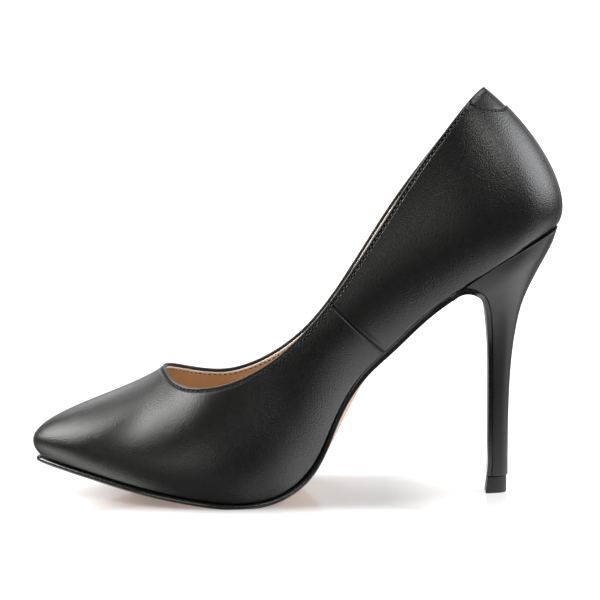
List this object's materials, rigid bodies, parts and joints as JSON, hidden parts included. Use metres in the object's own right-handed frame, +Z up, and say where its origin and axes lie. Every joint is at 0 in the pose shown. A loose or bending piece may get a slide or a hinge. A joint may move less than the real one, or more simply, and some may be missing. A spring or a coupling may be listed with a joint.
{
  "type": "platform pump",
  "caption": "Pointed court shoe for the right foot, with a low cut smooth upper, a thin sole that runs down the front of a tall slender heel, and a small inset tab at the back.",
  "frame": {"origin": "centre of the bounding box in plan, on the floor the shoe stands on", "axes": "+Z up, toe towards -X, heel towards +X, inner (medial) side towards -Y"},
  "size_m": [0.2276, 0.0794, 0.1759],
  "materials": {
    "upper_leather": "smooth, fine grain, soft sheen",
    "tab_leather": "smooth, fine grain, soft sheen",
    "sock_lining": "matt",
    "sole_edge": "gloss edge",
    "heel_cover": "satin",
    "top_piece_rubber": "matt"
  },
  "bodies": {
    "root": {"upper": "upper_leather", "heel_tab": "tab_leather", "insole": "sock_lining", "outsole": "sole_edge", "heel": "heel_cover", "top_piece": "top_piece_rubber"}
  },
  "joints": []
}
